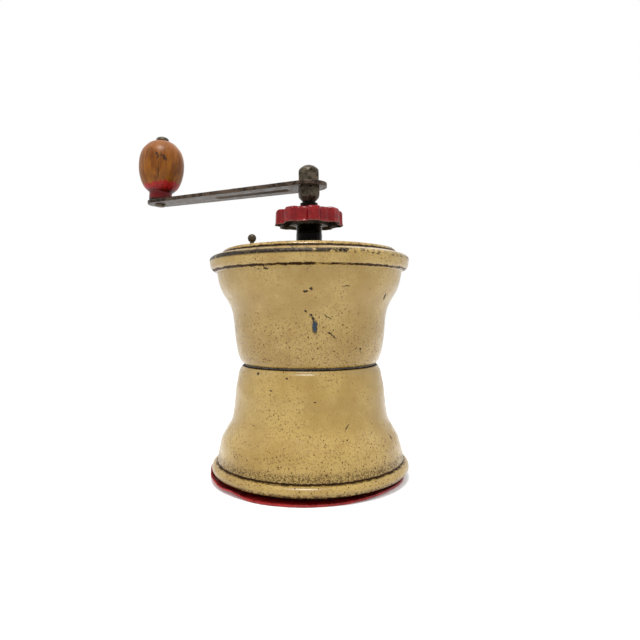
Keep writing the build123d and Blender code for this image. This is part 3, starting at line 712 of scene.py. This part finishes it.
def knob_wood():
    """Varnished turned wood: grain along the knob, worn pale at the top, a dark scar, a foot painted red,
    with painted shade low on the collar, in its crease and along its bottom edge.
    """
    s = Shader("varnished_wood")
    tilt = UP.rotation_difference(KNOB_AXIS).to_euler()
    aim = {"Vector": s.place, "Location": tuple(KNOB_FOOT), "Rotation": tuple(tilt)}
    local = s.add("Mapping", aim, vector_type="TEXTURE").outputs[0]
    axes = s.add("SeparateXYZ", {0: local}).outputs
    x, up = axes["X"], axes["Z"]
    bent = s.warped(local, 0.07, 2.0, 3.0)
    rings = s.noise(1.7, 4.0, 0.6, place=bent, stretch=(1.0, 1.0, 9.0))
    fibre = s.noise(0.42, 3.0, 0.7, place=local, stretch=(1.0, 1.0, 14.0))
    flame = s.noise(7.0, 3.0, 0.6, place=bent, stretch=(1.0, 1.0, 2.0))
    colour = s.mix(s.ramp(rings, 0.36, 0.66), (0.092, 0.025, 0.0014), (0.180, 0.057, 0.0035))
    colour = s.mix(s.ramp(flame, 0.42, 0.7, 0.0, 0.5), colour, (0.25, 0.085, 0.007))
    colour = s.mix(s.ramp(fibre, 0.56, 0.74, 0.0, 0.55), colour, (0.045, 0.011, 0.001))
    top = s.ramp(s.plus(up, s.times(flame, 10.0)), 31.0, 39.0)
    colour = s.mix(s.times(top, 0.5), colour, (0.25, 0.095, 0.030))
    pore = s.specks(0.9, 0.4, 0.16, place=s.vector("DIVIDE", local, (1.0, 1.0, 5.0)))
    colour = s.mix(s.times(pore, 0.6), colour, (0.035, 0.009, 0.002))

    shaken = s.warped(local, 0.8, 3.0, 1.4)
    turn = (0.0, 0.0, math.atan2(KNOB_FACE.y, KNOB_FACE.x))
    scars = []
    for side, height, wide, tall in SCARS:
        centre = KNOB_FACE * KNOB_DEPTH + KNOB_SIDE * side + Vector((0.7, 0.7, height + 0.7))
        scars.append(s.spot(tuple(centre), (7.0, wide, tall), turn, place=shaken))
    scar = s.ramp(s.least(scars), 1.25, 0.7)
    colour = s.mix(s.times(scar, 0.9), colour, (0.018, 0.006, 0.003))

    slope = s.times(x, -0.10)
    ragged = s.times(s.minus(s.noise(3.2, 5.0, 0.7), 0.5), 7.5)
    reach = s.plus(s.plus(up, ragged), slope)
    paint = s.ramp(reach, 10.2, 9.4)
    paint = s.both(paint, s.inverse(s.both(s.specks(1.5, 0.35, 0.22), s.ramp(up, 6.2, 7.2))))
    # The red foot is graded from dark low on the collar, under the egg's swell, to bright on the upward
    # flare: painted shade
    shaded_red = s.mix(s.ramp(up, 5.6, 8.2), (0.11, 0.0015, 0.002), (0.26, 0.010, 0.008))
    shaded_red = s.mix(s.ramp(s.noise(2.0, 4.0, 0.7), 0.5, 0.72), shaded_red, (0.07, 0.001, 0.0015))
    colour = s.mix(paint, colour, shaded_red)
    # Near-black in the crease over the collar and along the bottom edge by the arm: grime with painted shade
    crease = s.both(s.band(up, 5.6, 0.35, 0.5), s.ramp(s.noise(1.5, 3.0), 0.35, 0.55))
    foot = s.ramp(s.plus(up, s.times(s.noise(1.6, 3.0), 1.2)), 2.0, 1.1)
    colour = s.mix(s.either(s.times(crease, 0.7), foot), colour, (0.02, 0.008, 0.005))
    rough = s.plus(s.ramp(rings, 0.3, 0.7, 0.28, 0.44), s.times(s.either(scar, pore), 0.25))
    normal = s.bump(s.inverse(s.either(scar, pore)), 0.5, 0.12)
    normal = s.bump(fibre, 0.2, 0.06, normal)
    normal = s.bump(s.noise(5.0, 2.0), 0.25, 0.3, normal)
    return s.finish(
        Base_Color=colour, Roughness=rough, Normal=normal, Specular_IOR_Level=0.14, Coat_Weight=0.06,
        Coat_Roughness=0.18,
    )


def cast_iron():
    """Sand-cast iron with polished high spots and a film of coffee."""
    s = Shader("cast_iron")
    sand = s.noise(0.6, 4.0, 0.8)
    colour = s.mix(s.ramp(sand, 0.35, 0.7), (0.035, 0.030, 0.027), (0.15, 0.14, 0.13))
    coffee = s.ramp(s.noise(3.0, 4.0, 0.7), 0.5, 0.7)
    colour = s.mix(s.times(coffee, 0.6), colour, (0.06, 0.028, 0.012))
    rough = s.ramp(sand, 0.3, 0.7, 0.45, 0.7)
    return s.finish(Base_Color=colour, Metallic=0.8, Roughness=rough, Normal=s.bump(sand, 0.6, 0.14))


def floor_finish():
    """Plain pale paper with the faintest tooth."""
    s = Shader("pale_floor")
    tooth = s.noise(1.2, 3.0)
    colour = s.mix(tooth, (0.86, 0.86, 0.86), (0.90, 0.90, 0.90))
    return s.finish(
        Base_Color=colour, Roughness=0.8, Normal=s.bump(tooth, 0.05, 0.05), Emission_Color=(1.0, 1.0, 1.0),
        Emission_Strength=0.12,
    )


# --- Outlines of the visible pieces ---


def cup_outline():
    """Sheet outline of the catch cup: a turned-in neck, the waisted wall, and a rolled bead."""
    bore = NECK_BORE + SHEET / 2
    lip = NECK - SHEET / 2
    neck = rounded([(bore, 54.0, 0), (bore, lip, 1.2), (37.4, lip, 0.9), (37.9, NECK - 1.5, 0)])
    bead = CUP_HIGH.x - BEAD_RADIUS - SHEET / 2
    middle = CUP_LOW.z + SHEET / 2 + BEAD_RADIUS
    groove = rounded([(51.0, 10.4, 0), (51.0, middle + BEAD_RADIUS, 0.5), (bead, middle + BEAD_RADIUS, 0)])
    roll = []
    steps = 18
    for step in range(1, steps + 1):
        angle = math.pi / 2 - math.pi * step / steps
        roll.append(Vector((bead + BEAD_RADIUS * math.cos(angle), middle + BEAD_RADIUS * math.sin(angle))))
    return walled(densified(neck + smooth(CUP_WALL)[1:] + groove[1:] + roll, 1.2), SHEET)


def hopper_outline():
    """Sheet outline of the hopper: floor flange, waisted wall and a hemmed rim that carries the lid."""
    floor = SEAM + SHEET / 2
    foot = rounded([(27.0, floor, 0), (37.0, floor, 0.9), (38.5, 65.2, 0)])
    shelf = HOPPER_HIGH.z - SHEET / 2
    edge = HOPPER_HIGH.x - SHEET / 2
    rim = rounded(
        [
            (50.4, 110.6, 0), (50.75, 112.7, 0.5), (52.9, 113.4, 0.7), (54.0, 114.6, 0.9),
            (edge + 0.1, 119.1, 0.7), (53.4, 120.35, 0.4), (48.7, shelf, 0.6), (44.4, shelf, 0),
        ]
    )
    return walled(densified(foot + smooth(HOPPER_WALL)[1:] + rim[1:], 1.2), SHEET)


def lid_outline():
    """Sheet outline of the lid: a pressed cap with a rounded edge."""
    top = LID_HIGH.z - SHEET / 2
    edge = LID_HIGH.x - SHEET / 2
    shoulder = [(edge - 1.2, top - 0.05, 0.9), (edge, top - 1.1, 0.6)]
    path = rounded([(7.5, top, 0), (30.0, top, 0), *shoulder, (edge, LID_LOW.z, 0)])
    return walled(densified(path, 1.5), SHEET)


# --- Body ---


def sheet_metal(name, outline, body, node, paint, inside, shape, reverse=False):
    """A turned sheet piece, painted on the first side of its outline, or on the other one if reversed."""
    path, first = outline

    def side(index):
        return int((index >= first) != reverse)

    return piece(name, turned(path, 288, shape=shape, side=side), (paint, inside), body, node)


def sector_cutter(inner, outer, start, sweep, low, high):
    """A prism through the lid in the shape of the fill opening, its corners rounded."""
    steps = 40
    power = 0.16
    middle = (inner + outer) / 2
    half = (outer - inner) / 2
    outline = []
    for step in range(4 * steps):
        turn = TURN * step / (4 * steps)
        across = math.copysign(abs(math.cos(turn)) ** power, math.cos(turn))
        along = math.copysign(abs(math.sin(turn)) ** power, math.sin(turn))
        radius = middle + half * across
        angle = math.radians(start + sweep / 2 + sweep / 2 * along)
        outline.append((radius * math.cos(angle), radius * math.sin(angle)))
    form = lofted([[(x, y, z) for x, y in outline] for z in (low, high)])
    return linked("cutter", mesh_of("cutter", *form[:2]))


def cut(made, cutter):
    """Takes the cutter's shape out of a piece for good."""
    modifier = made.modifiers.new("cut", "BOOLEAN")
    modifier.object = cutter
    modifier.solver = "EXACT"
    result = bpy.data.meshes.new_from_object(made.evaluated_get(bpy.context.evaluated_depsgraph_get()))
    made.modifiers.clear()
    made.data = result
    result.set_sharp_from_angle(angle=math.radians(SHARP))
    bpy.data.objects.remove(cutter)


def build_body(paint, tin):
    """The hopper, the catch cup and the lid, with the fill opening cut out of the lid."""
    wave = still_near(dented(0.16, 21.0, 3.1, HOPPER_DENTS), *HOPPER_STILL)
    sheet_metal("hopper_shell", hopper_outline(), "housing", "upper_shell", paint, tin, wave)
    wave = still_near(dented(0.14, 24.0, 7.7, CUP_DENTS), *CUP_STILL)
    sheet_metal("catch_cup_shell", cup_outline(), "catch_cup", "lower_shell", paint, tin, wave, True)
    lid = sheet_metal("lid_cap", lid_outline(), "housing", "lid", paint, tin, domed, True)
    cut(lid, sector_cutter(*OPENING, LID_LOW.z - 1.0, LID_HIGH.z + 1.0))


def still_near(shape, radius, height):
    """The shape, but leaving the fitted parts inside that radius, or below that height, exactly round."""

    def steadied(angle, r, z):
        moved, level = shape(angle, r, z)
        share = within((r - radius) / 2.0) * within((z - height) / 2.0)
        return r + (moved - r) * share, level

    return steadied


def domed(angle, r, z):
    """The lid sags a little and its edge is not quite level."""
    x, y = r * math.cos(angle), r * math.sin(angle)
    share = within((r - LID_FLAT[0]) / 10.0) * within((z - LID_FLAT[1]) / 0.8)
    return r, z - share * (0.12 + 0.1 * ripple(x, y, z, 17.0, 5.0))


def build_pad(cover):
    """The thin red disc under the base: off centre, its edge cut by hand, curled up in places."""
    centre = (PAD_LOW + PAD_HIGH) / 2
    reach = (PAD_HIGH.x - PAD_LOW.x) / 2
    rings = 44
    thick = 1.25

    def surface(angle, share, level):
        wander = 0.55 * ripple(math.cos(angle) * 3, math.sin(angle) * 3, 0.0, 1.0, 2.0)
        wander += 0.18 * ripple(math.cos(angle) * 12, math.sin(angle) * 12, 0.0, 1.0, 4.0)
        away = (reach - PAD_EDGE + wander) * share
        x, y = away * math.cos(angle), away * math.sin(angle)
        edge = max(0.0, (away - 47.5) / 6.5) ** 1.6
        lift = 0.0
        for middle, width, height in CURLS:
            lift += height * math.exp(-((apart(angle, middle) / math.radians(width)) ** 2))
        reached = math.hypot(centre.x + x, centre.y + y)
        under = BEAD_RADIUS**2 - max(0.0, reached - CUP_HIGH.x + BEAD_RADIUS) ** 2
        clear = BEAD_GAP + BEAD_RADIUS - math.sqrt(under) if under > 0 else 2 * BEAD_RADIUS
        tooth = 0.05 * ripple(x, y, 0.0, 3.0, 9.0)
        bottom = min(lift * edge, clear) + (0.0 if share < 0.9 else 0.1 * edge)
        return away, max(0.0, bottom + (thick + tooth - 0.25 * edge) * level)

    shares = [math.sin(math.pi / 2 * ring / rings) for ring in range(rings + 1)]
    profile = [(share, 1.0) for share in shares] + [(1.004, 0.75), (1.006, 0.4), (1.003, 0.1)]
    profile += [(share, 0.0) for share in reversed(shares)]
    form = turned(profile, 360, closed=False, shape=surface)
    form = placed(form, Vector((centre.x, centre.y, 0.0)), UP)
    pad = piece("red_base_pad", form, (cover,), "catch_cup", "base_pad")


# --- Top works ---


def build_bush(black):
    """The black bush: plain where the door turns on it, with a fine thread above, where the wheel screws."""
    radius = BUSH_RADIUS
    start = WHEEL_LOW.z - 5.0

    def threaded(angle, r, z):
        if r < radius - 0.05 or z < start:
            return r, z
        fade = min(1.0, (z - start) / 1.2, max(0.0, (BUSH_HIGH.z - 0.4 - z) / 0.6))
        phase = (z + angle / TURN) % 1.0
        return r - THREAD_DEPTH * fade * abs(2 * phase - 1), z

    top = BUSH_HIGH.z
    shoulder = DOOR_LOW.z - 0.05
    bore = SPINDLE_BORE
    stem, flange, seat = 6.0, 10.0, 121.6
    outline = rounded(
        [
            (bore, BUSH_LOW.z, 0), (stem, BUSH_LOW.z, 0.3), (stem, seat, 0),
            (flange, seat, 0.2), (flange, shoulder, 0.2), (radius, shoulder, 0),
            (radius, start, 0), (radius, top, 0.7), (bore, top, 0.3),
        ]
    )
    form = turned(densified_ring(outline, 0.13), 96, shape=threaded)
    piece("threaded_bush", form, (black,), "housing", "top_bush")


def scalloped(angle, r, z):
    """Pulls the wheel's rim into lobes and flutes, with less of it towards the centre."""
    lobe = eased(0.5 + LOBE_STEEPNESS * math.cos(WHEEL_LOBES * (angle - math.radians(WHEEL_TURN))))
    pull = (1 - lobe) * FLUTE_DEPTH
    share = within((r - WHEEL_PLAIN) / FLUTE_RUN)
    flare = max(0.0, (WHEEL_LOW.z + 1.4 - z) / 1.4)
    wave = 0.06 * ripple(r * math.cos(angle), r * math.sin(angle), z, 4.0, 6.0)
    return r - pull * share * share * (1 - 0.12 * flare) + wave * share, z


def build_wheel(paint, raw):
    """The red adjusting wheel: a pressed cap with a rolled top edge, a flared lip and a bare, dark inside."""
    crest = WHEEL_HIGH.x / math.cos(math.radians(11.0)) + 0.1
    low, high = WHEEL_LOW.z, WHEEL_HIGH.z
    wall = 1.0
    outside = rounded(
        [
            (3.3, high - 0.25, 0), (12.5, high - 0.25, 1.2), (14.0, high, 1.0), (crest - 0.15, high, 2.3),
            (crest, low + 1.6, 0.8), (crest + 0.35, low + 0.25, 0.2), (crest + 0.3, low, 0.15),
            (crest + 0.05, low, 0.1),
        ]
    )
    roof = high - 1.3
    inside = rounded([(crest - wall, low + 0.9, 0), (crest - wall - 0.1, roof, 1.6), (3.3, roof, 0)])
    painted = densified(outside, 0.8)
    lip = 3

    def side(index):
        return int(index >= len(painted) - lip)

    form = turned(painted + densified(inside, 0.8), 384, shape=scalloped, side=side)
    piece("red_adjusting_wheel", form, (paint, raw), "wheel", "adjusting_wheel")


def nut(name, node, outline, corner_degrees, softness, steel):
    """A hexagon nut of that outline, with a corner in that direction."""
    shape = hexagonal(NUT_FLATS, corner_degrees, softness)
    form = turned(densified_ring(outline, 0.4), 180, shape=shape)
    piece(name, form, (steel,), "crankshaft", node, sharp=20.0)


def build_nuts(steel):
    """The hexagon under the crank, rounded at its foot, and the domed cap nut above it."""
    corner = NUT_FLATS / 2 / math.cos(TURN / 12)
    low, high = HUB_LOW.z, HUB_HIGH.z
    outline = rounded(
        [
            (3.0, low, 0), (3.6, low, 0.3), (corner - 0.1, low + 3.1, 1.3), (corner, high - 0.7, 0.2),
            (corner - 0.5, high, 0.1), (3.0, high, 0),
        ]
    )
    nut("hub_hexagon", "hub_nut", outline, HUB_NUT_TURN, 0.04, steel)
    low, high = CAP_LOW.z, CAP_HIGH.z
    neck = high - 5.1
    crown = [(4.9, high - 2.0), (3.1, high - 0.7), (1.3, high - 0.1), (0.0, high)]
    dome = smooth([(corner, neck), (corner - 0.35, high - 3.6), *crown])
    outline = rounded([(3.0, low, 0), (corner - 0.7, low, 0.2), (corner, low + 0.6, 0.3), (corner, neck, 0)])
    outline = outline + dome[1:] + [Vector((0.0, high - 3.3)), Vector((3.0, high - 3.3))]
    nut("domed_cap_nut", "cap_nut", outline, CAP_NUT_TURN, 0.05, steel)


def build_crank(steel):
    """The tapered flat arm: rounded ends and edges, and a stamped rib that is a groove underneath."""
    hub, tip = ARM_HIGH.x, -(ARM_LOW.x - KNOB_FOOT.x)
    length = -KNOB_FOOT.x
    low, high = ARM_LOW.z, KNOB_FOOT.z
    across = 26
    along = 110
    quarter = [math.pi / 2 * step / 40 for step in range(41)]
    stations = [hub * math.cos(angle) for angle in quarter]
    stations += [-length * step / along for step in range(1, along)]
    stations += [-length - tip * math.sin(angle) for angle in quarter]
    slope = math.asin((hub - tip) / length)

    def half_width(x):
        if x > hub * math.sin(slope):
            return math.sqrt(max(0.0, hub**2 - x**2))
        if x < -length + tip * math.sin(slope):
            return math.sqrt(max(0.0, tip**2 - (x + length) ** 2))
        return hub * math.cos(slope) + (x - hub * math.sin(slope)) * math.tan(slope)

    start, end, half_rib, height, depth = RIB

    def rib(x, y):
        side = max(0.0, 1 - (y / half_rib) ** 2)
        return eased(min(-x - start, end + x) / 2.5) * side**0.8

    middle = (low + high) / 2
    rise = (high - low) / 2
    rings = []
    for x in stations:
        half = half_width(x)
        edge = min(0.55, half)
        flat = [(half - edge) * (1 - 2 * index / across) for index in range(across + 1)]
        turn = [(half - edge + edge * math.sin(math.pi * k / 8), math.pi * k / 8) for k in range(1, 8)]
        ring = [(y, high + height * rib(x, y)) for y in flat]
        ring += [(-y, middle + rise * bulged(math.cos(a))) for y, a in turn]
        ring += [(-y, low + depth * rib(x, -y)) for y in flat]
        ring += [(y, middle - rise * bulged(math.cos(a))) for y, a in turn]
        rings.append([(x, y, max(low, min(high + height, z + uneven(x, y, z)))) for y, z in ring])
    piece("crank_bar", lofted(rings, capped=False), (steel,), "crankshaft", "crank_arm", sharp=55.0)


def uneven(x, y, z):
    """How far the worn surface of the arm lies from a true one."""
    return 0.07 * ripple(x, y, z, 9.0, 1.0) + 0.03 * ripple(x, y, z, 2.5, 8.0) - 0.07


def bulged(value):
    """Rounds a cosine towards a square, so an edge has small round corners and a flat middle."""
    return math.copysign(abs(value) ** 0.45, value)


def build_axle(steel):
    """The rivet the knob turns on, with a domed head at the top and a peened tail under the arm."""
    top = 41.0
    head = 38.4
    tail = -(KNOB_FOOT.z - ARM_LOW.z) - 0.2
    dome = smooth([(4.0, head + 0.6), (3.7, head + 1.4), (2.7, top - 0.45), (1.3, top - 0.08), (0.0, top)])
    foot = [(0.0, tail - 1.3, 0), (2.6, tail - 1.3, 0.5), (3.6, tail, 0.3)]
    outline = rounded([*foot, (2.2, tail, 0), (2.2, head, 0), (4.0, head, 0.15), (4.0, head + 0.6, 0)])
    form = turned(densified(outline + dome[1:], 0.6), 96, closed=False)
    piece("knob_rivet", placed(form, KNOB_FOOT, KNOB_AXIS), (steel,), "crankshaft", "knob_axle")


def build_knob(wood):
    """The turned wooden egg, slightly out of round, with a worn shoulder and a foot."""
    bore = 2.26

    def shape(angle, r, z):
        x, y = r * math.cos(angle), r * math.sin(angle)
        share = within((r - 4.0) / 4.0)
        return r * (1 + 0.006 * share * ripple(x, y, z, 14.0, 2.5)) - 0.05 * share, z

    egg = smooth(
        [
            (7.45, 5.5), (8.7, 6.5), (10.7, 8.6), (12.5, 12.3), (13.75, 17.0), (14.15, 22.0), (13.7, 27.2),
            (12.1, 31.8), (9.1, 35.5), (6.5, 37.3), (4.6, 38.0),
        ]
    )
    foot = rounded([(bore, 0.4, 0), (7.1, 0.4, 0.4), (7.2, 2.0, 0), (7.05, 4.9, 0.5), (7.45, 5.5, 0)])
    outline = densified(foot + egg[1:] + [Vector((3.6, 38.05)), Vector((bore, 38.0))], 0.6)
    form = placed(turned(densified_ring(outline, 2.0), 160, shape=shape), KNOB_FOOT, KNOB_AXIS)
    piece("wooden_knob", form, (wood,), "grip", "knob")


def build_door_knob(steel):
    """The little ball knob on the fill door."""
    ball = (BALL_HIGH.x - BALL_LOW.x) / 2
    low, high = BALL_LOW.z, BALL_HIGH.z
    middle = high - ball
    sphere = []
    for step in range(1, 25):
        angle = math.radians(-62 + 152 * step / 24)
        sphere.append(Vector((ball * math.cos(angle), middle + ball * math.sin(angle))))
    foot = [(0.0, low, 0), (1.9, low, 0.2), (1.9, low + 0.8, 0.3)]
    stem = rounded([*foot, (1.1, low + 0.9, 0.2), (1.1, middle - ball + 0.3, 0)])
    outline = stem + sphere[:-1] + [Vector((0.0, high))]
    form = turned(densified(outline, 0.5), 64, closed=False)
    centre = Vector(((BALL_LOW.x + BALL_HIGH.x) / 2, (BALL_LOW.y + BALL_HIGH.y) / 2, 0.0))
    piece("fill_door_ball", placed(form, centre, UP), (steel,), "door", "door_knob")


def build_spring(steel):
    """The coil spring on the spindle, wound from round wire with a closed turn at each end."""
    low, high = millimetres("spindle_spring")
    wire = SPRING_WIRE
    coil = high.x - wire - 0.05
    steps = 36 * SPRING_TURNS
    closing = 0.075 / 4 * SPRING_TURNS / TURN
    around = [TURN * k / 10 for k in range(10)]
    rings = []
    for step in range(steps + 1):
        share = step / steps
        climb = share - closing * math.sin(TURN * share)
        angle = TURN * SPRING_TURNS * share
        z = low.z + wire + (high.z - LIFT_ROOM - low.z - 2 * wire) * climb
        section = [(coil + wire * math.cos(a), z + wire * math.sin(a)) for a in around]
        rings.append([(r * math.cos(angle), r * math.sin(angle), height) for r, height in section])
    piece("coil_spring", lofted(rings), (steel,), "crankshaft", "spindle_spring")


def finish_nodes(material, *nodes):
    """Gives CAD nodes that still show a better material, and smooth shading."""
    for node in nodes:
        shown = frame["nodes"][node]
        shown.data.materials.clear()
        shown.data.materials.append(material)
        shown.data.shade_smooth()
        shown.data.set_sharp_from_angle(angle=math.radians(30.0))


# --- Stage ---


def build_stage():
    """A wide pale floor, a white surround, soft lights and the camera."""
    scene = bpy.context.scene
    scene.view_settings.view_transform = "Standard"
    reach = 3000.0
    corners = [(-reach, -reach, 0), (reach, -reach, 0), (reach, reach, 0), (-reach, reach, 0)]
    floor = mesh_of("floor", corners, [(0, 1, 2, 3)])
    floor.materials.append(floor_finish())
    linked("floor", floor)

    world = bpy.data.worlds.new("studio")
    scene.world = world
    world.use_nodes = True
    background = world.node_tree.nodes["Background"]
    background.inputs["Color"].default_value = (1.0, 1.0, 1.0, 1.0)
    background.inputs["Strength"].default_value = 1.0

    middle = Vector((0.0, 0.0, 0.5 * cad_box[1].z))
    for name, azimuth, height, away, size, power in LIGHTS:
        light = bpy.data.lights.new(name, "AREA")
        light.energy = power
        light.size = size
        lamp = linked(name, light)
        angle = math.radians(azimuth)
        lamp.location = Vector((away * math.cos(angle), away * math.sin(angle), height))
        lamp.rotation_euler = (middle - lamp.location).to_track_quat("-Z", "Y").to_euler()

    camera = bpy.data.cameras.new("camera")
    camera.sensor_width = 36.0
    camera.lens = CAMERA_LENS
    camera.shift_x, camera.shift_y = CAMERA_SHIFT
    camera.clip_start = 0.01
    eye = linked("camera", camera)
    angle = math.radians(CAMERA_AZIMUTH - 90)
    eye.location = (CAMERA_AWAY * math.cos(angle), CAMERA_AWAY * math.sin(angle), CAMERA_HEIGHT)
    aim = Matrix.Rotation(math.radians(CAMERA_AZIMUTH), 3, "Z") @ Matrix.Rotation(math.pi / 2, 3, "X")
    eye.rotation_euler = (aim @ Matrix.Rotation(CAMERA_ROLL, 3, "Z")).to_euler()
    scene.camera = eye


# --- Everything ---

ENAMEL = enamel()
CRANK_STEEL = aged_steel("pitted_crank_steel", (0.005, 0.003, 0.002), (0.095, 0.066, 0.046), rust=0.5)
NUT_STEEL = aged_steel("worn_nut_steel", (0.008, 0.006, 0.004), (0.115, 0.092, 0.062), rust=0.3, size=0.7)
BLACK_STEEL = aged_steel(
    "black_oxide", (0.0012, 0.001, 0.001), (0.006, 0.005, 0.0045),
    rust=0.05, roughness=0.26, metallic=0.97, size=0.8,
)
DARK_STEEL = aged_steel("greasy_steel", (0.02, 0.015, 0.011), (0.12, 0.105, 0.09), rust=0.5, roughness=0.5)
TIN = aged_steel("dull_tin", (0.16, 0.15, 0.14), (0.38, 0.37, 0.35), rust=0.3, roughness=0.42)
BRIGHT_STEEL = aged_steel("bright_steel", (0.22, 0.21, 0.20), (0.5, 0.49, 0.47), rust=0.15, roughness=0.34)
BRASS = aged_steel("aged_brass", (0.20, 0.12, 0.04), (0.52, 0.37, 0.14), rust=0.1, roughness=0.36)
IRON = cast_iron()

build_body(ENAMEL, TIN)
build_pad(leatherette())
build_bush(BLACK_STEEL)
build_wheel(red_paint(), DARK_STEEL)
build_nuts(NUT_STEEL)
build_crank(CRANK_STEEL)
build_axle(NUT_STEEL)
build_knob(knob_wood())
build_door_knob(NUT_STEEL)
build_spring(BRIGHT_STEEL)
finish_nodes(ENAMEL, "fill_door")
finish_nodes(IRON, "burr_ring", "inner_burr")
finish_nodes(BRASS, "lower_bush")
finish_nodes(BLACK_STEEL, "spindle")
finish_nodes(
    DARK_STEEL, "bottom_disc", "spigot_ring", "lower_bridge", "top_bridge", "wheel_hub", "thrust_washer"
)
finish_nodes(BRIGHT_STEEL, "burr_screws", "burr_nuts", "bridge_screws", "bridge_rivets", "bush_nut")
finish_nodes(BRIGHT_STEEL, "spring_collar", "drive_pin", "burr_nut")
build_stage()
